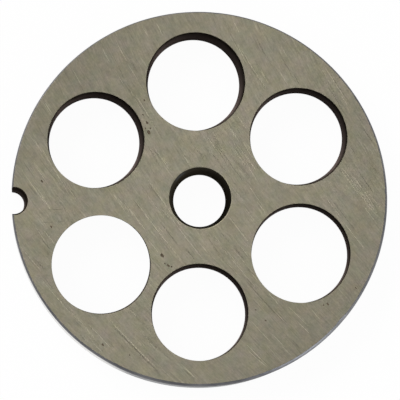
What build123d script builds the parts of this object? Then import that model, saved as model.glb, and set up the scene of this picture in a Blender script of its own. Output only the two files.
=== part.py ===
from build123d import *
import os
from math import pi, sin

# Coarse cutting plate for a meat grinder, lying on its back face.
# The origin is on the bore axis at the back face, +Z runs up the bore to the
# cutting face, and bearings run anticlockwise from +X. All lengths are in mm.

# Turned disc
plate_diameter = 70.0
plate_thickness = 8.0
rim_chamfer = 0.3

# The corner of the cutting face was broken with the disc running out of true,
# so its chamfer is narrow at this bearing and wide on the far side.
chamfer_runout = 0.18
chamfer_runout_bearing = 110.0

# Bore that turns on the stud of the worm, with a lead-in from either face
bore_diameter = 10.2
bore_chamfer = 0.7

# The feed holes are as large as the steel left round them allows: one web
# between neighbours, one between each hole and the rim. They come out at 18.3.
hole_web = 3.45
rim_web = 4.1

# The holes were spaced by hand. Each pair is how far one hole was spotted off
# its even place: degrees anticlockwise, then millimetres outwards.
hole_drifts = (
    (3.0, 0.45),
    (-1.5, -0.5),
    (0.2, -0.4),
    (1.0, 0.0),
    (0.9, 0.1),
    (-0.2, 0.4),
)

# Half-round notch for the locating pin, midway between two feed holes
notch_diameter = 4.8
notch_inset = 0.5
notch_bearing = 180.0
notch_chamfer = 0.2

plate_radius = plate_diameter / 2
bore_radius = bore_diameter / 2
hole_spacing = 360 / len(hole_drifts)

# Neighbouring centres stand one chord apart, which is a hole and a web, and the
# pitch circle lies a hole radius and the rim web inside the rim.
chord_per_pitch = 2 * sin(pi / len(hole_drifts))
feed_hole_radius = (chord_per_pitch * (plate_radius - rim_web) - hole_web) / (2 + chord_per_pitch)
pitch_radius = plate_radius - rim_web - feed_hole_radius

with BuildPart() as grinder_plate:
    # Half-section from bore wall to rim: lead-ins at the bore, and at the rim
    # only the corner of the back face, which was broken true.
    with BuildSketch(Plane.XZ) as section:
        with Locations((bore_radius, 0)):
            Rectangle(
                plate_radius - bore_radius,
                plate_thickness,
                align=(Align.MIN, Align.MIN),
            )
        chamfer(section.vertices().group_by(Axis.X)[0], bore_chamfer)
        chamfer(section.vertices().group_by(Axis.X)[-1].sort_by(Axis.Y)[0], rim_chamfer)
    revolve(axis=Axis.Z)

    # The corner of the cutting face lies on a cone whose axis is off the bore's.
    with PolarLocations(chamfer_runout, 1, start_angle=chamfer_runout_bearing):
        Cone(
            plate_radius - rim_chamfer + plate_thickness,
            plate_radius - rim_chamfer,
            plate_thickness,
            align=(Align.CENTER, Align.CENTER, Align.MIN),
            mode=Mode.INTERSECT,
        )

    # The notch is milled after turning, then deburred where it meets either face.
    with BuildSketch(Plane.XY):
        with PolarLocations(plate_radius - notch_inset, 1, start_angle=notch_bearing):
            Circle(notch_diameter / 2)
    extrude(amount=plate_thickness, mode=Mode.SUBTRACT)
    notch_corners = grinder_plate.edges(Select.LAST).filter_by(GeomType.CIRCLE).group_by(SortBy.RADIUS)[0]
    chamfer(notch_corners, notch_chamfer)

    # Feed holes go straight through, square-edged for the knife to shear on.
    for index, (turn_drift, radial_drift) in enumerate(hole_drifts):
        bearing = notch_bearing + (index + 0.5) * hole_spacing + turn_drift
        with PolarLocations(pitch_radius + radial_drift, 1, start_angle=bearing):
            Hole(feed_hole_radius)

grinder_plate.part.label = "grinder_plate"

os.makedirs("parts", exist_ok=True)
export_step(grinder_plate.part, "parts/grinder_plate.step")
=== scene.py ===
import math
import random

import bpy
from mathutils import Matrix, Vector
from mathutils.geometry import delaunay_2d_cdt


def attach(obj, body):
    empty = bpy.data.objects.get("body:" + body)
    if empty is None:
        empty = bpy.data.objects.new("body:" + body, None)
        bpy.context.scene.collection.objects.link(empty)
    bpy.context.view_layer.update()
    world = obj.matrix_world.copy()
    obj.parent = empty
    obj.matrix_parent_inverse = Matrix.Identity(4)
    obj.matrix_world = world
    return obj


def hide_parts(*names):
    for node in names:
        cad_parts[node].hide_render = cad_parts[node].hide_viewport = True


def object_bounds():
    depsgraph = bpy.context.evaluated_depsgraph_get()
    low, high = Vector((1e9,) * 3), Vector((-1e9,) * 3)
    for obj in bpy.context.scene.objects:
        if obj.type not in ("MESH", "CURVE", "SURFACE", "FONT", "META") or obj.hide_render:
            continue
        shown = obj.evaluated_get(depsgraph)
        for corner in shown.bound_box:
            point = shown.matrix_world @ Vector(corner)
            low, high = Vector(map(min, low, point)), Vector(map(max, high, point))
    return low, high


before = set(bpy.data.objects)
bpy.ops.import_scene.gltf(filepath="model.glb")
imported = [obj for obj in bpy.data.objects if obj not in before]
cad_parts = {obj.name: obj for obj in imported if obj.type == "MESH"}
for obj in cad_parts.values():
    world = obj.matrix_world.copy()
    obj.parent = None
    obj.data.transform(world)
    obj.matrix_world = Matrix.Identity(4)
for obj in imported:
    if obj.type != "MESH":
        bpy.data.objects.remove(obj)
cad_low, cad_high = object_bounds()

# Coarse cutting plate of a meat grinder, lying on its back face in the frame of its
# solid: the bore axis is Z, and bearings run anticlockwise from +X. Lengths are in
# millimetres, and MM turns them into Blender's metres.
MM = 0.001

# The disc, from the box of the solid, rounded to a micrometre. The rim of the visual
# keeps just inside it.
RIM_INSET = 0.01
PLATE_RADIUS = round(cad_high[0] / MM, 3) - RIM_INSET
THICKNESS = round(cad_high[2] / MM, 3)

# Sizes that the solid has too. The chamfer of the cutting face was cut off-centre, so it
# is narrowest at one bearing.
RIM_CHAMFER = 0.3
CHAMFER_RUNOUT = 0.18
RUNOUT_BEARING = math.radians(110.0)
BORE_RADIUS = 5.1
BORE_CHAMFER = 0.7
NOTCH_RADIUS = 2.4
NOTCH_INSET = 0.5
NOTCH_CHAMFER = 0.2
HOLE_RADIUS = 9.15
PITCH_RADIUS = 21.75
FIRST_HOLE_BEARING = 210.0
# How far each hole stands off its even place: degrees anticlockwise, then outwards.
HOLE_DRIFTS = ((3.0, 0.45), (-1.5, -0.5), (0.2, -0.4), (1.0, 0.0), (0.9, 0.1), (-0.2, 0.4))

# In the visual alone the holes are a little out of true as well, to match the walls that
# the photograph shows. For each, in the order of the drifts: how much its radius at the
# cutting face is off, how far its other end has moved in X and Y, and how much tighter
# it is there.
HOLE_FAULTS = (
    (0.00, 0.10, 0.65, -0.10),
    (-0.15, 0.25, 0.05, 0.40),
    (0.10, 0.45, 0.25, 0.10),
    (0.00, 0.30, 0.50, 0.45),
    (0.10, 0.05, 0.35, 0.50),
    (-0.15, -0.15, 0.35, 0.65),
)
# So is the bore: it is wider towards the cutting face, as a stud may wear it, and at the
# back face it has moved in X and Y and is tighter.
BORE_LEAN = (0.30, 0.15)
BORE_WEAR = 0.35
BORE_TIGHT = 0.20
# So is the notch: it stands further out, and at the back face it has moved outwards and
# in Y, and is tighter.
NOTCH_SHIFT = 0.10
NOTCH_LEAN = (0.40, 0.08)
NOTCH_TIGHT = 0.10

# The grinding marks are arcs of one radius whose centres stand on one line along X, as a
# cup wheel leaves them when the table carries the plate along X.
GRIND_RADIUS = 243.0
GRIND_LINE = 139.0

# Points round each level, how near two points of a face may come to each other, and
# the rounds that find a corner of the notch.
RIM_COUNT = 540
NOTCH_COUNT = 36
HOLE_COUNT = 160
BORE_COUNT = 120
SAME_POINT = 1e-6
CLOSING_ROUNDS = 8

# Materials of the faces, by index. The worn edges carry a painted highlight.
FACE, RIM, HOLE_WALL, BORE_WALL, EDGE_HIGHLIGHT, BRIGHT, DARK, PIT = range(8)

# Everything that is scattered draws from this one run, so the order of the calls counts.
rng = random.Random(12)


# ---------------------------------------------------------------- walls

def steady(value):
    """The same value at every bearing."""
    return lambda bearing: value


def wobble(seed, *terms):
    """A value that wavers with the bearing: a sum of cosines, each (waves round, size)."""
    draw = random.Random(seed)
    waves = [(count, size, draw.uniform(0, math.tau)) for count, size in terms]
    return lambda bearing: sum(size * math.cos(count * bearing + phase) for count, size, phase in waves)


def dings(*places):
    """Small dents in an edge: each (bearing in degrees, half-width in degrees, depth in mm)."""
    def depth(bearing):
        total = 0.0
        for centre, half_width, size in places:
            off = math.degrees(math.remainder(bearing - math.radians(centre), math.tau)) / half_width
            if abs(off) < 1:
                total += size * (1 - off * off) ** 2
        return total
    return depth


def hole_centres():
    spacing = 360 / len(HOLE_DRIFTS)
    for index, (turn, outward) in enumerate(HOLE_DRIFTS):
        bearing = math.radians(FIRST_HOLE_BEARING + index * spacing + turn)
        radius = PITCH_RADIUS + outward
        yield radius * math.cos(bearing), radius * math.sin(bearing)


def openings(share):
    """Circles that a face leaves open: share is 0 at the cutting face and 1 at the back."""
    circles = []
    for (x, y), (growth, dx, dy, taper) in zip(hole_centres(), HOLE_FAULTS):
        radius = HOLE_RADIUS + growth * (1 - share) - taper * share
        circles.append((x + share * dx, y + share * dy, radius))
    circles.append((share * BORE_LEAN[0], share * BORE_LEAN[1], BORE_RADIUS + BORE_CHAMFER))
    circles.append((-(PLATE_RADIUS - NOTCH_INSET + NOTCH_SHIFT), 0, NOTCH_RADIUS + NOTCH_CHAMFER))
    return circles


def ring(centre, lean, radius_at, z_at, count):
    """One closed level of a round wall, anticlockwise. lean moves it at the back face."""
    points = []
    for i in range(count):
        bearing = math.tau * i / count
        radius = radius_at(bearing)
        z = z_at(bearing)
        share = 1 - z / THICKNESS
        x = centre[0] + lean[0] * share + radius * math.cos(bearing)
        y = centre[1] + lean[1] * share + radius * math.sin(bearing)
        points.append((x, y, z))
    return points


def meeting_bearing(radius_at, reach, notch_bearing, notch_radius, sign):
    """Where the rim meets the notch, on the side that sign says. The rim's radius
    changes with the bearing, so a few rounds close in on it."""
    bearing = notch_bearing
    for _ in range(CLOSING_ROUNDS):
        rim = radius_at(bearing)
        cosine = (rim * rim + reach * reach - notch_radius ** 2) / (2 * rim * reach)
        bearing = notch_bearing + sign * math.acos(cosine)
    return bearing


def rim_level(radius_at, z_at, notch_radius):
    """One closed level of the rim with its notch: round the rim from the notch's
    lower corner to its upper corner, then back round the notch."""
    share = 1 - z_at(math.pi) / THICKNESS
    notch_x = -(PLATE_RADIUS - NOTCH_INSET + NOTCH_SHIFT + NOTCH_LEAN[0] * share)
    notch_y = NOTCH_LEAN[1] * share
    reach = math.hypot(notch_x, notch_y)
    notch_bearing = math.atan2(notch_y, notch_x) % math.tau
    start = meeting_bearing(radius_at, reach, notch_bearing, notch_radius, 1)
    end = meeting_bearing(radius_at, reach, notch_bearing, notch_radius, -1) + math.tau
    points = []
    for i in range(RIM_COUNT + 1):
        bearing = start + (end - start) * i / RIM_COUNT
        radius = radius_at(bearing)
        points.append((radius * math.cos(bearing), radius * math.sin(bearing), z_at(bearing)))
    upper = points[-1]
    lower = points[0]
    from_angle = math.atan2(upper[1] - notch_y, upper[0] - notch_x)
    to_angle = math.atan2(lower[1] - notch_y, lower[0] - notch_x)
    for i in range(1, NOTCH_COUNT):
        share = i / NOTCH_COUNT
        angle = from_angle + (to_angle - from_angle) * share
        x = notch_x + notch_radius * math.cos(angle)
        y = notch_y + notch_radius * math.sin(angle)
        z = max(z_at(math.pi), upper[2] + (lower[2] - upper[2]) * share)
        points.append((x, y, z))
    return points


class Shell:
    """Collects points and faces of the plate, in millimetres, with a material for each
    face. flat holds the faces of the two flat sides, and sunk holds the material that a
    sunk point gives to the triangles round it."""

    def __init__(self):
        self.points = []
        self.faces = []
        self.materials = []
        self.flat = set()
        self.sunk = {}

    def add_loop(self, loop):
        first = len(self.points)
        self.points.extend(loop)
        return list(range(first, first + len(loop)))

    def wall(self, loops, material, outward):
        """Quads between successive closed levels. outward is True where the steel lies
        inside the loops, and material may depend on the place round them."""
        for lower, upper in zip(loops, loops[1:]):
            count = len(lower)
            for i in range(count):
                j = (i + 1) % count
                quad = (lower[i], lower[j], upper[j], upper[i])
                self.faces.append(quad if outward else quad[::-1])
                self.materials.append(material(i) if callable(material) else material)

    def face(self, loops, inner_points, inner_edges, material, up):
        """Fills one flat side between the outline and the holes with triangles,
        through the given inner points, which may lie lower than the side."""
        ids = [index for loop in loops for index in loop] + inner_points
        flat = [Vector(self.points[index][:2]) for index in ids]
        place = {index: i for i, index in enumerate(ids)}
        edges = [(place[a], place[b]) for loop in loops for a, b in zip(loop, loop[1:] + loop[:1])]
        edges += [(place[a], place[b]) for a, b in inner_edges]
        out_points, _, triangles, origins, _, _ = delaunay_2d_cdt(flat, edges, [], 0, SAME_POINT)
        out_ids = []
        for point, origin in zip(out_points, origins):
            if origin:
                out_ids.append(ids[origin[0]])
            else:
                height = THICKNESS if up else 0.0
                out_ids.append(self.add_loop([(point.x, point.y, height)])[0])
        owner = {index: number for number, loop in enumerate(loops) for index in loop}
        rings = [[self.points[index][:2] for index in loop] for loop in loops]
        for triangle in triangles:
            corners = [out_ids[i] for i in triangle]
            # A triangle with all its corners on one loop may lie in an opening or
            # outside the rim.
            owners = {owner.get(index, -1) for index in corners}
            if len(owners) == 1 and -1 not in owners:
                number = owners.pop()
                x = sum(self.points[index][0] for index in corners) / 3
                y = sum(self.points[index][1] for index in corners) / 3
                if in_polygon(x, y, rings[number]) != (number == 0):
                    continue
            marks = [self.sunk[index] for index in corners if index in self.sunk]
            self.flat.add(len(self.faces))
            self.faces.append(tuple(corners) if up else tuple(corners[::-1]))
            self.materials.append(marks[0] if marks else material)


def in_polygon(x, y, polygon):
    inside = False
    for (x0, y0), (x1, y1) in zip(polygon, polygon[1:] + polygon[:1]):
        if (y0 > y) != (y1 > y) and x < x0 + (y - y0) / (y1 - y0) * (x1 - x0):
            inside = not inside
    return inside


# Worn edges of the rim. Where a chamfer meets a face, the rounding runs from EDGE in on
# the face to FACE_EDGE_OUT out and FACE_EDGE_DOWN down from the sharp edge. Where it
# meets the wall, it runs from EDGE in and WALL_EDGE_UP up to EDGE down the wall.
# However ragged it is, the chamfer of the cutting face is never narrower than the least.
EDGE = 0.045
FACE_EDGE_OUT = 0.01
FACE_EDGE_DOWN = 0.0255
WALL_EDGE_UP = 0.0315
LEAST_CHAMFER = 0.09


def build_rim(shell):
    """Rim wall with both chamfers and the notch, from the back face up. Returns its
    outlines at the back face and at the cutting face."""
    ragged = wobble(3, (7, 0.012), (19, 0.01), (41, 0.009), (83, 0.008), (131, 0.006))
    back_ragged = wobble(4, (9, 0.01), (27, 0.01), (61, 0.008))
    nicks = dings(
        (-42.3, 3.2, 0.16), (1.0, 0.9, 0.12), (-70.0, 0.8, 0.07), (38.0, 0.7, 0.08),
        (143.0, 0.9, 0.07), (-118.0, 1.0, 0.08), (84.0, 0.6, 0.06),
    )

    def chamfer(bearing):
        even = RIM_CHAMFER - CHAMFER_RUNOUT * math.cos(bearing - RUNOUT_BEARING)
        return max(LEAST_CHAMFER, even + ragged(bearing) + nicks(bearing))

    def back_chamfer(bearing):
        return RIM_CHAMFER + back_ragged(bearing)

    def flat(bearing):
        return PLATE_RADIUS - chamfer(bearing)

    def back_flat(bearing):
        return PLATE_RADIUS - back_chamfer(bearing)

    wall = steady(PLATE_RADIUS)
    edge = steady(PLATE_RADIUS - EDGE)
    back_notch = NOTCH_RADIUS - NOTCH_TIGHT
    middle_notch = (NOTCH_RADIUS + back_notch) / 2
    notch_mouth = NOTCH_RADIUS + NOTCH_CHAMFER
    levels = (
        (lambda b: back_flat(b) - EDGE, steady(0.0), back_notch + EDGE),
        (lambda b: back_flat(b) + FACE_EDGE_OUT, steady(FACE_EDGE_DOWN), back_notch + FACE_EDGE_OUT),
        (edge, lambda b: back_chamfer(b) - WALL_EDGE_UP, back_notch),
        (wall, lambda b: back_chamfer(b) + EDGE, back_notch),
        (wall, steady(THICKNESS / 2), middle_notch),
        (wall, lambda b: THICKNESS - chamfer(b) - EDGE, NOTCH_RADIUS),
        (edge, lambda b: THICKNESS - chamfer(b) + WALL_EDGE_UP, NOTCH_RADIUS),
        (lambda b: flat(b) + FACE_EDGE_OUT, steady(THICKNESS - FACE_EDGE_DOWN), notch_mouth),
        (lambda b: flat(b) - EDGE, steady(THICKNESS), notch_mouth + EDGE),
    )
    loops = [shell.add_loop(rim_level(*level)) for level in levels]
    # Past RIM_COUNT the points of a level go round the notch, whose wall is scaled too.
    shell.wall(loops, lambda i: HOLE_WALL if i >= RIM_COUNT else RIM, True)
    return loops[0], loops[-1]


# The edges of the feed holes are only just broken by wear. Each is about this wide and
# this many times as deep, with dents of these half-widths in degrees and depths.
HOLE_EDGE = 0.06
HOLE_EDGE_SLOPE = 1.3
HOLE_DENTS = ((2.6, 0.07), (2.0, 0.06), (3.0, 0.05))


def build_feed_hole(shell, number, centre, fault):
    """Wall of one feed hole, which leans and tapers by its fault. Returns its outlines
    at the back face and at the cutting face."""
    growth, lean_x, lean_y, taper = fault
    ragged = wobble(20 + number, (3, 0.008), (11, 0.007), (29, 0.006), (47, 0.005))
    dents = dings(*[(rng.uniform(0, 360), half_width, depth) for half_width, depth in HOLE_DENTS])
    front = HOLE_RADIUS + growth
    back = HOLE_RADIUS - taper

    def wear_and_gleam(bearing):
        return HOLE_EDGE + ragged(bearing) + dents(bearing)

    levels = (
        (lambda b: back + wear_and_gleam(b), steady(0.0)),
        (steady(back), lambda b: wear_and_gleam(b) * HOLE_EDGE_SLOPE),
        (steady((front + back) / 2), steady(THICKNESS / 2)),
        (steady(front), lambda b: THICKNESS - wear_and_gleam(b) * HOLE_EDGE_SLOPE),
        (lambda b: front + wear_and_gleam(b), steady(THICKNESS)),
    )
    loops = [shell.add_loop(ring(centre, (lean_x, lean_y), *level, HOLE_COUNT)) for level in levels]
    shell.wall(loops[:-1], HOLE_WALL, False)
    shell.wall(loops[-2:], EDGE_HIGHLIGHT, False)
    return loops[0], loops[-1]


# Rounded edges of the bore. At either mouth the rounding starts so far out on the face
# and ends so far in and so deep on the chamfer. At either throat it runs from so far out
# and up the chamfer to so far down the bore.
BACK_MOUTH_OUT = 0.05
FRONT_MOUTH_OUT = 0.13
MOUTH_IN = 0.02
MOUTH_DEPTH = 0.03
BACK_THROAT_OUT = 0.06
FRONT_THROAT_OUT = 0.04
THROAT_UP = 0.05
THROAT_DOWN = 0.06


def build_bore(shell):
    """Wall of the bore: a broad countersink at either face. Returns its outlines at the
    back face and at the cutting face."""
    ragged = wobble(31, (2, 0.02), (5, 0.012), (13, 0.01), (37, 0.008))
    back = BORE_RADIUS - BORE_TIGHT
    middle = BORE_RADIUS + (BORE_WEAR - BORE_TIGHT) / 2
    front = BORE_RADIUS + BORE_WEAR
    front_throat = THICKNESS - BORE_CHAMFER

    def mouth(bearing):
        return BORE_RADIUS + BORE_CHAMFER + ragged(bearing)

    levels = (
        (lambda b: mouth(b) + BACK_MOUTH_OUT, steady(0.0)),
        (lambda b: mouth(b) - MOUTH_IN, steady(MOUTH_DEPTH)),
        (steady(back + BACK_THROAT_OUT), steady(BORE_CHAMFER - THROAT_UP)),
        (steady(back), steady(BORE_CHAMFER + THROAT_DOWN)),
        (steady(middle), steady(THICKNESS / 2)),
        (steady(front), steady(front_throat - THROAT_DOWN)),
        (steady(front + FRONT_THROAT_OUT), steady(front_throat + THROAT_UP)),
        (lambda b: mouth(b) - MOUTH_IN, steady(THICKNESS - MOUTH_DEPTH)),
        (lambda b: mouth(b) + FRONT_MOUTH_OUT, steady(THICKNESS)),
    )
    loops = [shell.add_loop(ring((0, 0), BORE_LEAN, *level, BORE_COUNT)) for level in levels]
    shell.wall(loops[:-1], BORE_WALL, False)
    shell.wall(loops[-2:], EDGE_HIGHLIGHT, False)
    return loops[0], loops[-1]


def build_walls(shell):
    """Rim, feed holes and bore. Returns their outlines at the back face and at the
    cutting face, the rim's first."""
    outlines = [build_rim(shell)]
    for number, (centre, fault) in enumerate(zip(hole_centres(), HOLE_FAULTS)):
        outlines.append(build_feed_hole(shell, number, centre, fault))
    outlines.append(build_bore(shell))
    return [back for back, _ in outlines], [front for _, front in outlines]


# ---------------------------------------------------------------- faces and their marks

# Pits of the cutting face: place, size and depth.
PITS = (
    (-9.6, 14.2, 0.24, 0.10), (-9.3, 12.4, 0.34, 0.13), (-9.0, 13.2, 0.15, 0.06),
    (-9.9, 13.2, 0.13, 0.05), (-10.3, 15.7, 0.14, 0.05), (-10.0, 18.4, 0.16, 0.06),
    (-7.3, -10.6, 0.32, 0.14), (-7.0, -9.9, 0.16, 0.07), (-6.2, -12.5, 0.24, 0.10),
    (-5.6, -12.7, 0.15, 0.06), (-6.8, -12.1, 0.13, 0.05), (-18.6, -26.9, 0.20, 0.08),
    (-13.7, -28.9, 0.13, 0.05), (23.3, -20.2, 0.20, 0.09), (22.5, -20.4, 0.13, 0.05),
    (11.6, -23.0, 0.15, 0.06), (9.8, -21.0, 0.12, 0.05), (-29.3, 3.6, 0.20, 0.07),
    (-27.7, -4.9, 0.19, 0.07), (28.6, -17.3, 0.14, 0.05), (-8.8, -27.5, 0.12, 0.05),
)
BACK_PITS = (
    (4.2, 9.1, 0.16, 0.07), (-9.8, -6.0, 0.13, 0.06), (29.5, 8.2, 0.18, 0.08),
    (-1.5, 32.4, 0.12, 0.05),
)
# Points round a pit, how much longer it is along the grinding arcs, the share of it that
# its floor takes up, how uneven its outline and its depth are, and the least steel that
# it leaves beside an edge.
PIT_COUNT = 11
PIT_STRETCH = 1.6
PIT_FLOOR = 0.55
PIT_OUTLINE = (0.7, 1.0)
PIT_DEPTH = (0.6, 1.0)
PIT_MARGIN = 0.08

# Handling scratches across the grain: ends, width, depth and what fills them.
HANDLING_SCRATCHES = (
    ((-28.5, -1.7), (-25.4, -1.8), 0.13, 0.012, DARK),
    ((-29.8, -4.1), (-27.4, -4.2), 0.09, 0.008, DARK),
    ((-26.6, -4.0), (-25.2, -4.0), 0.09, 0.008, DARK),
    ((9.4, 24.5), (11.6, 25.0), 0.10, 0.010, DARK),
    ((28.0, -14.6), (30.2, -16.7), 0.20, 0.040, BRIGHT),
    ((16.2, -26.5), (18.0, -28.6), 0.14, 0.020, DARK),
)
# How far they bow, as a share of their length, and the steps in each.
HANDLING_BOW = 0.02
HANDLING_STEPS = 8

# The longest grinding scratches: the middle of each, its length and its width. The
# bright ones are freshly cut and the dark ones hold dirt.
BRIGHT_SCRATCHES = (
    (-8, -6, 14.5, 0.18), (-13, -27, 13, 0.15), (-12, -3.5, 7.5, 0.20), (-2.5, -32.5, 5, 0.19),
    (7, -6, 6.5, 0.19), (4, -9.5, 5, 0.14), (11.5, -17, 8, 0.15), (14, -22, 4, 0.12),
    (9.5, -29, 6, 0.14), (28, 2.5, 6, 0.15), (28.5, -7.5, 6, 0.15), (31.5, -3.5, 4, 0.12),
    (-7, 7.5, 5.5, 0.18), (-13, -21, 2.5, 0.17), (-19, -25.5, 7, 0.13), (-30.5, 2, 7, 0.14),
    (-28, -7, 4, 0.14), (-17, 27, 3, 0.15), (-14, 27.5, 4, 0.12), (-7, 32, 3.5, 0.13),
    (-22.5, 23, 4, 0.12), (-28, 17.5, 3, 0.11), (7.5, 32, 3, 0.12), (12.5, 22.5, 3, 0.12),
    (16, 22.5, 3.5, 0.12), (6.5, 12, 4, 0.13), (2.5, 10, 4, 0.11), (7.5, 7.5, 4.5, 0.12),
)
DARK_SCRATCHES = (
    (-12.5, -28, 13, 0.18), (11.5, -19.5, 11, 0.16), (-10, -3.5, 8, 0.12), (-6, -6.5, 6, 0.14),
    (-2, -10.5, 3, 0.14), (7, -10.5, 3.5, 0.15), (-2.5, -33, 4, 0.14), (31, 2.5, 5, 0.13),
    (31.5, 11.5, 4, 0.12), (18.5, 22, 2.5, 0.12), (-8, 8.5, 3, 0.12), (-31.5, 5.5, 5, 0.12),
    (-28.5, -8.5, 4, 0.12), (22.5, -23, 3, 0.12),
)
# Their depth as a share of the width, the distance between their points, and the least
# number of steps in one and of points in a piece of one.
SCRATCH_DEPTH = 0.16
SCRATCH_STEP = 0.8
LEAST_STEPS = 6
LEAST_POINTS = 4
# Any scratch: the steel that it leaves beside an edge, the share of its width that it
# keeps clear of other marks, and how its ends taper. A lower power is blunter.
SCRATCH_MARGIN = 0.1
SCRATCH_ROOM = 0.4
SCRATCH_TAPER = 0.6

# Scattered grooves: most are short. Widths are in mm, depths are shares of the width,
# and the turn off the grinding arcs is the spread in degrees.
SHORT_GROOVE = (2.5, 6.0)
LONG_GROOVE = (6.0, 13.0)
SHORT_SHARE = 0.6
BRIGHT_SHARE = 0.55
GROOVE_WIDTH = (0.05, 0.10)
GROOVE_DEPTH = (0.10, 0.16)
GROOVE_TURN = 2.2
GROOVE_STEPS = 8

# Grooves on each face, and the spacing of the plain points between them.
FRONT_GROOVES = 150
FRONT_SPACING = 1.1
BACK_GROOVES = 110
BACK_SPACING = 1.6
# The plain points stand off their grid by up to the jitter, and keep clear of edges and
# of marks. All three are shares of the spacing.
JITTER = 0.3
EDGE_SPACE = 0.4
MARK_SPACE = 0.3


def grind_direction(x, y):
    """Unit vector along the grinding arc through a point, towards the lower right."""
    rise = (GRIND_LINE - y) / GRIND_RADIUS
    return rise, -math.sqrt(1 - rise * rise)


def along_grind(x, y, length, turn, count):
    """Points through (x, y) along the grinding arc, turned off it by an angle."""
    path = []
    for i in range(count + 1):
        reach = length * (i / count - 0.5)
        dx, dy = grind_direction(x, y)
        bend = turn + 0.5 * reach / GRIND_RADIUS
        cos, sin = math.cos(bend), math.sin(bend)
        path.append((x + reach * (dx * cos - dy * sin), y + reach * (dx * sin + dy * cos)))
    return path


def bowed(start, end):
    """Points from start to end, bowed a little to one side."""
    dx, dy = end[0] - start[0], end[1] - start[1]
    path = []
    for i in range(HANDLING_STEPS + 1):
        share = i / HANDLING_STEPS
        side = HANDLING_BOW * 4 * share * (1 - share)
        path.append((start[0] + dx * share - dy * side, start[1] + dy * share + dx * side))
    return path


class Marks:
    """Pits and scratches sunk in one face, as points and edges for its triangles."""

    def __init__(self, shell, height, sink, openings):
        self.shell = shell
        self.height = height
        self.sink = sink
        self.openings = openings
        self.points = []
        self.edges = []
        self.taken = []

    def add(self, x, y, depth, material=None):
        """A point so far below the face, and the material of the triangles round it."""
        index = self.shell.add_loop([(x, y, self.height + self.sink * depth)])[0]
        self.points.append(index)
        if material is not None:
            self.shell.sunk[index] = material
        return index

    def on_steel(self, x, y, margin):
        """True where a point lies on the flat of the face, at least margin from every edge."""
        if math.hypot(x, y) > PLATE_RADIUS - RIM_CHAMFER - CHAMFER_RUNOUT - margin:
            return False
        return all(math.hypot(x - cx, y - cy) > radius + margin for cx, cy, radius in self.openings)

    def clear(self, x, y, radius):
        """True where a circle touches no mark that is already there."""
        return all(math.hypot(x - a, y - b) > radius + r for a, b, r in self.taken)

    def free(self, x, y, width):
        """True where a scratch of the given width may pass."""
        return self.on_steel(x, y, width + SCRATCH_MARGIN) and self.clear(x, y, SCRATCH_ROOM * width)

    def pit(self, x, y, size, depth):
        """An uneven pit, drawn out along the grinding direction."""
        reach = size * PIT_STRETCH
        if not self.clear(x, y, reach) or not self.on_steel(x, y, reach + PIT_MARGIN):
            return
        self.taken.append((x, y, reach))
        along = grind_direction(x, y)
        outer, inner = [], []
        for i in range(PIT_COUNT):
            angle = math.tau * i / PIT_COUNT
            radius = size * rng.uniform(*PIT_OUTLINE)
            u, v = radius * PIT_STRETCH * math.cos(angle), radius * math.sin(angle)
            dx, dy = u * along[0] - v * along[1], u * along[1] + v * along[0]
            floor_depth = depth * rng.uniform(*PIT_DEPTH)
            outer.append(self.add(x + dx, y + dy, 0))
            inner.append(self.add(x + dx * PIT_FLOOR, y + dy * PIT_FLOOR, floor_depth, PIT))
        self.add(x, y, depth, PIT)
        for loop in (outer, inner):
            self.edges += list(zip(loop, loop[1:] + loop[:1]))

    def scratch(self, path, width, depth, material):
        """A groove along a path of points, widest in its middle and tapering to nothing.
        Returns False, and cuts nothing, where it would run over an edge or a mark."""
        if not all(self.free(x, y, width) for x, y in path):
            return False
        last = len(path) - 1
        left, right, middle = [], [], []
        for i, (x, y) in enumerate(path):
            if 0 < i < last:
                before, after = path[i - 1], path[i + 1]
                dx, dy = after[0] - before[0], after[1] - before[1]
                length = math.hypot(dx, dy)
                half = 0.5 * width * math.sin(math.pi * i / last) ** SCRATCH_TAPER
                nx, ny = -dy / length * half, dx / length * half
                left.append(self.add(x + nx, y + ny, 0))
                right.append(self.add(x - nx, y - ny, 0))
                middle.append(self.add(x, y, depth * half * 2 / width, material))
            else:
                tip = self.add(x, y, 0)
                for line in (left, right, middle):
                    line.append(tip)
        for line in (left, right, middle):
            self.edges += list(zip(line, line[1:]))
        self.taken += [(x, y, 0.5 * width) for x, y in path]
        return True

    def grinding_scratch(self, x, y, length, width, material):
        """A scratch along the grinding arcs, broken off where an edge or another mark is
        in the way."""
        path = along_grind(x, y, length, 0.0, max(LEAST_STEPS, round(length / SCRATCH_STEP)))
        free = [self.free(x, y, width) for x, y in path]
        run = []
        for point, is_free in zip(path + [None], free + [False]):
            if is_free:
                run.append(point)
                continue
            if len(run) >= LEAST_POINTS:
                self.scratch(run, width, width * SCRATCH_DEPTH, material)
            run = []

    def grooves(self, count):
        """Grooves that the coarsest grains of the wheel left, of uneven length and width."""
        made = 0
        while made < count:
            radius, bearing = PLATE_RADIUS * math.sqrt(rng.random()), rng.uniform(0, math.tau)
            x, y = radius * math.cos(bearing), radius * math.sin(bearing)
            length = rng.uniform(*(SHORT_GROOVE if rng.random() < SHORT_SHARE else LONG_GROOVE))
            turn = math.radians(rng.gauss(0, GROOVE_TURN))
            width = rng.uniform(*GROOVE_WIDTH)
            material = BRIGHT if rng.random() < BRIGHT_SHARE else DARK
            depth = width * rng.uniform(*GROOVE_DEPTH)
            made += self.scratch(along_grind(x, y, length, turn, GROOVE_STEPS), width, depth, material)

    def fill(self, spacing):
        """Plain points over the rest of the face, on a loose grid."""
        steps = int(PLATE_RADIUS / spacing) + 1
        for i in range(-steps, steps + 1):
            for j in range(-steps, steps + 1):
                x = (i + rng.uniform(-JITTER, JITTER)) * spacing
                y = (j + rng.uniform(-JITTER, JITTER)) * spacing
                if self.on_steel(x, y, EDGE_SPACE * spacing) and self.clear(x, y, MARK_SPACE * spacing):
                    self.add(x, y, 0)


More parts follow.
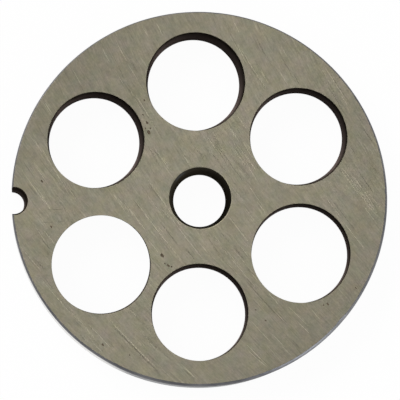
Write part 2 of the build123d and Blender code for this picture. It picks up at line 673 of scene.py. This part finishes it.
def build_cutting_face(shell, outlines):
    """The marks that this plate has, then fine grinding grooves."""
    marks = Marks(shell, THICKNESS, -1, openings(0))
    for x, y, size, depth in PITS:
        marks.pit(x, y, size, depth)
    for start, end, width, depth, material in HANDLING_SCRATCHES:
        marks.scratch(bowed(start, end), width, depth, material)
    for scratches, material in ((BRIGHT_SCRATCHES, BRIGHT), (DARK_SCRATCHES, DARK)):
        for x, y, length, width in scratches:
            marks.grinding_scratch(x, y, length, width, material)
    marks.grooves(FRONT_GROOVES)
    marks.fill(FRONT_SPACING)
    shell.face(outlines, marks.points, marks.edges, FACE, True)


def build_back_face(shell, outlines):
    """Ground the same way, with a few pits and grooves of its own."""
    marks = Marks(shell, 0.0, 1, openings(1))
    for x, y, size, depth in BACK_PITS:
        marks.pit(x, y, size, depth)
    marks.grooves(BACK_GROOVES)
    marks.fill(BACK_SPACING)
    shell.face(outlines, marks.points, marks.edges, FACE, False)


# Two faces that meet at more than this angle keep a sharp edge between them.
SHARP_ANGLE = math.radians(24)


def build_plate():
    shell = Shell()
    back_outlines, front_outlines = build_walls(shell)
    build_cutting_face(shell, front_outlines)
    build_back_face(shell, back_outlines)
    mesh = bpy.data.meshes.new("ground_plate")
    mesh.from_pydata([(x * MM, y * MM, z * MM) for x, y, z in shell.points], [], shell.faces)
    mesh.polygons.foreach_set("material_index", shell.materials)
    mesh.validate()
    mesh.set_sharp_from_angle(angle=SHARP_ANGLE)
    mesh.polygons.foreach_set("use_smooth", [i not in shell.flat for i in range(len(mesh.polygons))])
    plate = bpy.data.objects.new("ground_plate", mesh)
    bpy.context.scene.collection.objects.link(plate)
    return plate


# ---------------------------------------------------------------- materials

# Most values of a noise lie between these.
NOISE_LOW = 0.3
NOISE_HIGH = 0.7


class Graph:
    """A small helper that writes node materials."""

    def __init__(self, name):
        self.material = bpy.data.materials.new(name)
        self.material.use_nodes = True
        self.tree = self.material.node_tree
        self.tree.nodes.clear()

    def add(self, kind, inputs=None, **settings):
        node = self.tree.nodes.new(kind)
        for key, value in settings.items():
            setattr(node, key, value)
        for key, value in (inputs or {}).items():
            self.feed(node.inputs[key], value)
        return node

    def feed(self, socket, value):
        """Links an input to another node's output, or gives it a value."""
        if isinstance(value, bpy.types.NodeSocket):
            self.tree.links.new(value, socket)
        else:
            socket.default_value = value

    def math(self, operation, *values):
        return self.add("ShaderNodeMath", dict(enumerate(values)), operation=operation).outputs[0]

    def product(self, *values):
        total = values[0]
        for value in values[1:]:
            total = self.math("MULTIPLY", total, value)
        return total

    def vector(self, x, y, z=0.0):
        return self.add("ShaderNodeCombineXYZ", {0: x, 1: y, 2: z}).outputs[0]

    def along(self, vector, bearing):
        """How far a vector reaches along a bearing in degrees."""
        inputs = {0: vector, 1: bearing_vector(bearing)}
        return self.add("ShaderNodeVectorMath", inputs, operation="DOT_PRODUCT").outputs["Value"]

    def noise(self, vector, detail=4.0, roughness=0.55, scale=1.0):
        inputs = {"Vector": vector, "Scale": scale, "Detail": detail, "Roughness": roughness}
        return self.add("ShaderNodeTexNoise", inputs).outputs[0]

    def cloud(self, position, size, detail=4.0, roughness=0.55):
        """Noise in space whose blotches are about size millimetres across."""
        return self.noise(position, detail, roughness, 1 / (size * MM))

    def span(self, value, low, high, to_low=0.0, to_high=1.0):
        inputs = {"Value": value, "From Min": low, "From Max": high, "To Min": to_low, "To Max": to_high}
        return self.add("ShaderNodeMapRange", inputs).outputs[0]

    def vary(self, noise, middle, swing, low=NOISE_LOW, high=NOISE_HIGH):
        """A noise spread over a swing to either side of a middle value."""
        return self.span(noise, low, high, middle - swing, middle + swing)

    def mix(self, factor, a, b, blend="MIX"):
        # Of a colour mix, inputs 0, 6 and 7 are the factor and the colours.
        node = self.add("ShaderNodeMix", data_type="RGBA", blend_type=blend)
        for number, value in ((0, factor), (6, a), (7, b)):
            self.feed(node.inputs[number], value)
        return node.outputs[2]

    def shade(self, colour, level):
        """A colour made darker or brighter by a factor."""
        return self.mix(1.0, colour, self.vector(level, level, level), "MULTIPLY")

    def finish(self, surface):
        self.add("ShaderNodeOutputMaterial", {"Surface": surface})
        return self.material


def bearing_vector(bearing):
    """Unit vector along a bearing in degrees."""
    angle = math.radians(bearing)
    return math.cos(angle), math.sin(angle), 0.0


def rgba(colour, shade=1.0):
    """An opaque colour, made darker or brighter by a factor."""
    return [shade * value for value in colour] + [1]


def grind_coordinates(graph):
    """Object position, distances across and along the grinding arcs in millimetres, and
    the unit vector across them."""
    position = graph.add("ShaderNodeTexCoord").outputs["Object"]
    parts = graph.add("ShaderNodeSeparateXYZ", {0: position})
    rise = graph.math("SUBTRACT", GRIND_LINE * MM, parts.outputs[1])
    rise = graph.math("MULTIPLY", rise, 1 / (GRIND_RADIUS * MM))
    run = graph.math("SQRT", graph.math("SUBTRACT", 1.0, graph.math("MULTIPLY", rise, rise)))
    x = graph.math("MULTIPLY", parts.outputs[0], 1 / MM)
    across = graph.math("ADD", x, graph.math("MULTIPLY", run, GRIND_RADIUS))
    along = graph.math("MULTIPLY", graph.math("ARCSINE", rise), GRIND_RADIUS)
    return position, across, along, graph.vector(run, rise)


def streaks(graph, across, along, per_mm, length, offset, detail=2.0, roughness=0.5):
    """Noise drawn out along the grinding arcs."""
    stretched = graph.math("MULTIPLY", along, 1 / length)
    vector = graph.vector(graph.math("MULTIPLY", across, per_mm), stretched, offset)
    return graph.noise(vector, detail, roughness)


def spot(graph, position, centre, reach, soft):
    """1 near a place on the plate, falling to 0 past its reach. All in millimetres."""
    inputs = {0: position, 1: [value * MM for value in centre]}
    away = graph.add("ShaderNodeVectorMath", inputs, operation="DISTANCE").outputs["Value"]
    away = graph.math("MULTIPLY", away, 1 / MM)
    ragged = graph.math("ADD", away, graph.vary(graph.cloud(position, 0.8), 0.0, soft))
    return graph.span(ragged, reach + soft, reach - soft)


# Ground steel: two tones that it wanders between, and a yellow film over both. The
# film's noise is moved aside, in metres, so that it doesn't follow the tones.
MAUVE = (0.272, 0.240, 0.197)
OLIVE = (0.246, 0.240, 0.184)
YELLOW = (0.262, 0.240, 0.125)
YELLOW_SHARE = 0.36
ASIDE = (0.3, 0.2, 0.1)

# Where the cutting face is painted duller or brighter in soft patches, painted shade and
# painted light: place in mm, reach and shade.
SHADE_AND_LIGHT_PATCHES = (
    ((28.0, 12.5, THICKNESS), 10.5, 0.90),
    ((-23.5, 22.0, THICKNESS), 9.0, 0.93),
    ((-27.5, -18.0, THICKNESS), 8.5, 0.95),
    ((-30.0, 15.0, THICKNESS), 6.0, 0.965),
    ((21.5, 24.0, THICKNESS), 7.0, 0.95),
    ((4.5, 31.5, THICKNESS), 6.0, 1.035),
)
PATCH_SOFTNESS = 5.0


def ground_steel(name, shade, contrast):
    """Freshly ground steel with its long fine marks. shade scales the colour."""
    graph = Graph(name)
    position, across, along, sideways = grind_coordinates(graph)

    # The marks waver a little off their arcs.
    across = graph.math("ADD", across, graph.vary(graph.cloud(position, 3.2, 2.0, 0.5), 0.0, 0.16))
    hair = streaks(graph, across, along, per_mm=4.8, length=2.2, offset=31.0, detail=3.0, roughness=0.65)
    fine = streaks(graph, across, along, per_mm=2.4, length=4.0, offset=0.0, roughness=0.6)
    medium = streaks(graph, across, along, per_mm=1.1, length=6.0, offset=7.0)
    broad = streaks(graph, across, along, per_mm=0.30, length=9.0, offset=13.0)
    bright_lines = streaks(graph, across, along, per_mm=2.4, length=5.0, offset=23.0, detail=1.0)
    dark_lines = streaks(graph, across, along, per_mm=2.2, length=4.5, offset=41.0, detail=1.0)
    patches = graph.cloud(position, 5.5, 3.0, 0.6)
    speckle = graph.cloud(position, 0.34, 3.0, 0.75)
    blotches = graph.cloud(position, 1.3, 3.0, 0.6)
    tint = graph.cloud(position, 2.6, 3.0, 0.6)
    moved = graph.add("ShaderNodeVectorMath", {0: position, 1: ASIDE}).outputs[0]
    film = graph.span(graph.cloud(moved, 2.6, 4.0, 0.7), 0.32, 0.68, 0.0, YELLOW_SHARE)

    colour = graph.mix(graph.span(tint, 0.33, 0.67), rgba(OLIVE, shade), rgba(MAUVE, shade))
    colour = graph.mix(film, colour, rgba(YELLOW, shade))
    level = graph.product(
        graph.vary(hair, 1.0, 0.17 * contrast, 0.25, 0.75),
        graph.vary(fine, 1.0, 0.11 * contrast, 0.25, 0.75),
        graph.vary(medium, 1.0, 0.06 * contrast),
        graph.vary(broad, 1.0, 0.03 * contrast),
        graph.vary(patches, 1.0, 0.05),
        graph.vary(blotches, 1.0, 0.05),
        graph.vary(speckle, 1.0, 0.12),
        graph.span(graph.span(bright_lines, 0.62, 0.74), 0.0, 1.0, 1.0, 1 + 0.20 * contrast),
        graph.span(graph.span(dark_lines, 0.62, 0.76), 0.0, 1.0, 1.0, 1 - 0.18 * contrast),
    )
    # Painted shade and painted light: soft patches that darken or brighten the face.
    for place, reach, tone in SHADE_AND_LIGHT_PATCHES:
        shade_patch = spot(graph, position, place, reach, PATCH_SOFTNESS)
        level = graph.math("MULTIPLY", level, graph.span(shade_patch, 0.0, 1.0, 1.0, tone))

    relief = graph.math("ADD", fine, graph.math("MULTIPLY", medium, 1.4))
    bump = graph.add("ShaderNodeBump", {"Strength": 0.25, "Distance": 0.004 * MM, "Height": relief})
    shader = graph.add("ShaderNodeBsdfPrincipled", {
        "Base Color": graph.shade(colour, level),
        "Metallic": 0.9,
        "Roughness": graph.span(fine, 0.25, 0.75, 0.35, 0.45),
        "Anisotropic": 0.83,
        "Tangent": sideways,
        "Normal": bump.outputs[0],
    })
    return graph.finish(shader.outputs[0])


# The rim is painted bright on the side of one bearing, a painted highlight, past this
# distance from the axis along it, and from so far below the cutting face. It fades in over each span.
HIGHLIGHT_BEARING = -143.0
HIGHLIGHT_FROM = (30.0, 33.0)
HIGHLIGHT_BELOW = (0.35, 0.6)
HIGHLIGHT_STEEL = (0.72, 0.71, 0.69)
DULL_STEEL = (0.125, 0.125, 0.135)
CLEAN_STEEL = (0.19, 0.188, 0.195)


def turned_steel():
    """Rim wall and its chamfers: turned, then dulled to a bluish grey, with a painted highlight on one
    side.
    """
    graph = Graph("turned_steel")
    position = graph.add("ShaderNodeTexCoord").outputs["Object"]
    height = graph.add("ShaderNodeSeparateXYZ", {0: position}).outputs[2]
    rings = graph.noise(graph.vector(0.0, 0.0, graph.math("MULTIPLY", height, 9.0 / MM)), 3.0, 0.7)
    cloud = graph.cloud(position, 5, 4.0, 0.6)
    grain = graph.cloud(position, 0.5, 3.0, 0.7)
    level = graph.product(graph.vary(rings, 1.0, 0.1), graph.vary(grain, 1.0, 0.07))

    # A painted highlight: the wall is painted bright on the side of one bearing.
    towards = graph.math("MULTIPLY", graph.along(position, HIGHLIGHT_BEARING), 1 / MM)
    towards = graph.math("ADD", towards, graph.vary(cloud, 0.0, 1.2))
    below = graph.span(height, *[(THICKNESS - depth) * MM for depth in HIGHLIGHT_BELOW])
    painted_highlight = graph.math("MULTIPLY", graph.span(towards, *HIGHLIGHT_FROM), below)

    steel = graph.mix(graph.span(cloud, 0.35, 0.65), rgba(DULL_STEEL), rgba(CLEAN_STEEL))
    steel = graph.mix(painted_highlight, graph.shade(steel, level), graph.shade(rgba(HIGHLIGHT_STEEL), level))
    smoother = graph.math("MULTIPLY", painted_highlight, 0.14)
    bump = graph.add("ShaderNodeBump", {"Strength": 0.4, "Distance": 0.01 * MM, "Height": rings})
    shader = graph.add("ShaderNodeBsdfPrincipled", {
        "Base Color": steel,
        "Metallic": graph.math("ADD", 0.8, graph.math("MULTIPLY", painted_highlight, 0.2)),
        "Roughness": graph.math("SUBTRACT", graph.vary(cloud, 0.41, 0.07), smoother),
        "Normal": bump.outputs[0],
    })
    return graph.finish(shader.outputs[0])


def wall_normal(graph):
    return graph.add("ShaderNodeTexCoord").outputs["Normal"]


def sheen_on_two_sides(graph):
    """Painted sheen in the feed holes: darkest where the walls face bearings 50 and 230, painted lighter
    between them.
    """
    slant = graph.math("SUBTRACT", 1.0, graph.math("ABSOLUTE", graph.along(wall_normal(graph), 50)))
    return graph.math("ADD", 0.85, graph.math("MULTIPLY", 2.8, graph.math("MULTIPLY", slant, slant)))


def sheen_on_one_side(graph):
    """Painted sheen in the bore: lightest at bearing 150, where the wall looks along -30."""
    return graph.math("ADD", 3.5, graph.math("MULTIPLY", 2.5, graph.along(wall_normal(graph), -30)))


# Heat scale of the walls and dirt in the pits, each as one colour deep down and one near
# the cutting face, and the heights between which one changes to the other. The hole walls are several
# times darker near the cutting face.
HOLE_SCALE = ((0.052, 0.040, 0.036), (0.009, 0.007, 0.005))
BORE_SCALE = ((0.012, 0.010, 0.007), (0.008, 0.007, 0.005))
PIT_DIRT = ((0.085, 0.066, 0.045), (0.120, 0.095, 0.066))
SCALE_CHANGE = (3.0, THICKNESS - 0.6)
# In the bore the scale is painted lighter at one place, a painted gleam, though not all the way.
BORE_GLEAM = (-3.75, 4.1, 7.6)
GLEAM_REACH = 0.9
GLEAM_SOFTNESS = 0.7
GLEAM_SHARE = 0.8
GLEAM_STEEL = (0.085, 0.085, 0.08)


def scaled_steel(name, colours, specular, painted_sheen=None, gleam=None):
    """Dark heat scale and old grease, on a drilled wall or in a pit, with one colour deep
    down and one near the cutting face. A wall may be painted lighter by where it looks,
    a painted sheen, and at one place, a painted gleam."""
    graph = Graph(name)
    position = graph.add("ShaderNodeTexCoord").outputs["Object"]
    height = graph.add("ShaderNodeSeparateXYZ", {0: position}).outputs[2]
    height = graph.math("MULTIPLY", height, 1 / MM)
    rings = graph.noise(graph.vector(0.0, 0.0, graph.math("MULTIPLY", height, 5.0)), 3.0, 0.7)
    cloud = graph.cloud(position, 2.2, 4.0, 0.65)

    rise = graph.math("ADD", height, graph.vary(cloud, 0.0, 1.2))
    deep, shallow = [rgba(colour) for colour in colours]
    colour = graph.mix(graph.span(rise, *SCALE_CHANGE), deep, shallow)
    level = graph.product(graph.vary(rings, 1.0, 0.12), graph.vary(cloud, 1.0, 0.2))
    # Painted sheen: the colour is lightened by where the wall looks.
    if painted_sheen:
        level = graph.math("MULTIPLY", level, painted_sheen(graph))
    colour = graph.shade(colour, level)
    # A painted gleam: the colour is lightened at one place.
    if gleam:
        wear_and_gleam = spot(graph, position, gleam, GLEAM_REACH, GLEAM_SOFTNESS)
        wear_and_gleam = graph.math("MULTIPLY", wear_and_gleam, GLEAM_SHARE)
        colour = graph.mix(wear_and_gleam, colour, rgba(GLEAM_STEEL))
    bump = graph.add("ShaderNodeBump", {"Strength": 0.5, "Distance": 0.02 * MM, "Height": rings})
    shader = graph.add("ShaderNodeBsdfPrincipled", {
        "Base Color": colour,
        "Metallic": 0.0,
        "Roughness": graph.vary(cloud, 0.85, 0.06),
        "Specular IOR Level": specular,
        "Normal": bump.outputs[0],
    })
    return graph.finish(shader.outputs[0])


# How much of the floor's look is its own white. The rest takes light and shadow.
FLOOR_GLOW = 0.965


def studio_floor():
    """A pale floor that renders white and keeps a soft shadow."""
    graph = Graph("studio_floor")
    rays = graph.add("ShaderNodeLightPath")
    seen = graph.math("MAXIMUM", rays.outputs["Is Camera Ray"], rays.outputs["Is Glossy Ray"])
    seen = graph.math("MAXIMUM", seen, rays.outputs["Is Transmission Ray"])
    diffuse = graph.add("ShaderNodeBsdfDiffuse", {"Color": (0.9, 0.9, 0.9, 1)})
    glow = graph.add("ShaderNodeEmission", {"Color": (1, 1, 1, 1), "Strength": 1.0})
    share = graph.math("MULTIPLY", seen, FLOOR_GLOW)
    mixed = graph.add("ShaderNodeMixShader", {0: share, 1: diffuse.outputs[0], 2: glow.outputs[0]})
    return graph.finish(mixed.outputs[0])


plate = build_plate()
# In the order of the indices, from FACE to PIT.
for material in (
    ground_steel("ground_steel", shade=1.0, contrast=1.0),
    turned_steel(),
    scaled_steel("scaled_hole_wall", HOLE_SCALE, 0.0, sheen_on_two_sides),
    scaled_steel("scaled_bore_wall", BORE_SCALE, 0.0, sheen_on_one_side, BORE_GLEAM),
    # Worn edges of the holes and bore, painted bright: a painted highlight.
    ground_steel("worn_edge_highlight", shade=1.55, contrast=0.4),
    ground_steel("fresh_scratch", shade=1.92, contrast=0.4),
    ground_steel("dirty_scratch", shade=0.86, contrast=0.4),
    scaled_steel("pit_dirt", PIT_DIRT, 0.1),
):
    plate.data.materials.append(material)
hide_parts("grinder_plate")
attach(plate, "root")

# ---------------------------------------------------------------- stage

# Half the floor's width and how far it lies below the plate, in metres.
FLOOR_HALF = 3.0
FLOOR_DROP = 0.02 * MM


def build_floor():
    corners = [(x * FLOOR_HALF, y * FLOOR_HALF, 0) for x, y in ((-1, -1), (1, -1), (1, 1), (-1, 1))]
    mesh = bpy.data.meshes.new("floor")
    mesh.from_pydata(corners, [], [(0, 1, 2, 3)])
    mesh.materials.append(studio_floor())
    floor = bpy.data.objects.new("floor", mesh)
    floor.location.z = -FLOOR_DROP
    bpy.context.scene.collection.objects.link(floor)
    return floor


def studio_world(level):
    """Soft light from all sides, and plain white where the camera looks past the floor."""
    world = bpy.data.worlds.new("studio")
    world.use_nodes = True
    tree = world.node_tree
    tree.nodes.clear()
    rays = tree.nodes.new("ShaderNodeLightPath")
    soft = tree.nodes.new("ShaderNodeBackground")
    soft.inputs["Color"].default_value = (1.0, 1.0, 1.0, 1)
    soft.inputs["Strength"].default_value = level
    white = tree.nodes.new("ShaderNodeBackground")
    white.inputs["Color"].default_value = (1.0, 1.0, 1.0, 1)
    white.inputs["Strength"].default_value = 1.0
    mix = tree.nodes.new("ShaderNodeMixShader")
    output = tree.nodes.new("ShaderNodeOutputWorld")
    tree.links.new(rays.outputs["Is Camera Ray"], mix.inputs[0])
    tree.links.new(soft.outputs[0], mix.inputs[1])
    tree.links.new(white.outputs[0], mix.inputs[2])
    tree.links.new(mix.outputs[0], output.inputs[0])
    bpy.context.scene.world = world


def area_light(name, place, target, size, power, colour):
    """A round lamp. Places and size are in metres, the power is in watts."""
    lamp = bpy.data.lights.new(name, "AREA")
    lamp.shape = "DISK"
    lamp.size = size
    lamp.energy = power
    lamp.color = colour
    light = bpy.data.objects.new(name, lamp)
    light.location = place
    light.rotation_euler = (Vector(target) - Vector(place)).to_track_quat("-Z", "Y").to_euler()
    bpy.context.scene.collection.objects.link(light)


WORLD_LEVEL = 0.52
WARM_WHITE = (1.0, 0.99, 0.97)
COOL_WHITE = (0.92, 0.96, 1.0)

floor = build_floor()
studio_world(WORLD_LEVEL)
# Lamps: name, place, the point that it looks at, size, power and colour.
for lamp in (
    ("overhead_softbox", (0.051, 0.083, 0.85), (0, 0, 0), 0.185, 0.475, WARM_WHITE),
    ("broad_softbox", (-0.55, 0.50, 0.75), (0, 0, 0), 0.7, 6.6, WARM_WHITE),
    ("low_side_light", (0.30, -0.36, 0.10), (0.01, -0.01, 0.004), 0.18, 0.5, COOL_WHITE),
):
    area_light(*lamp)

# ---------------------------------------------------------------- camera

# The camera stands a little over half a metre above the plate, off to its lower left.
# Its focal length is in pixels of the picture.
CAMERA_PLACE = Vector((-32.86, -50.80, THICKNESS + 520.0)) * MM
CAMERA_TARGET = Vector((-0.047, -0.387, THICKNESS)) * MM
CAMERA_ROLL = -0.0226
FOCAL_PIXELS = 2818.3
IMAGE_WIDTH = 400
SENSOR_WIDTH = 36.0
NEAR_LIMIT = 0.01


def build_camera():
    ahead = (CAMERA_TARGET - CAMERA_PLACE).normalized()
    right = ahead.cross(Vector((0, 1, 0))).normalized()
    above = right.cross(ahead)
    cos_roll, sin_roll = math.cos(CAMERA_ROLL), math.sin(CAMERA_ROLL)
    camera_x = right * cos_roll + above * sin_roll
    camera_y = above * cos_roll - right * sin_roll
    turn = Matrix((camera_x, camera_y, -ahead)).transposed()
    data = bpy.data.cameras.new("camera")
    data.sensor_width = SENSOR_WIDTH
    data.lens = FOCAL_PIXELS / IMAGE_WIDTH * SENSOR_WIDTH
    data.clip_start = NEAR_LIMIT
    camera = bpy.data.objects.new("camera", data)
    camera.matrix_world = Matrix.Translation(CAMERA_PLACE) @ turn.to_4x4()
    bpy.context.scene.collection.objects.link(camera)
    return camera


bpy.context.scene.camera = build_camera()
bpy.context.scene.view_settings.view_transform = "Standard"
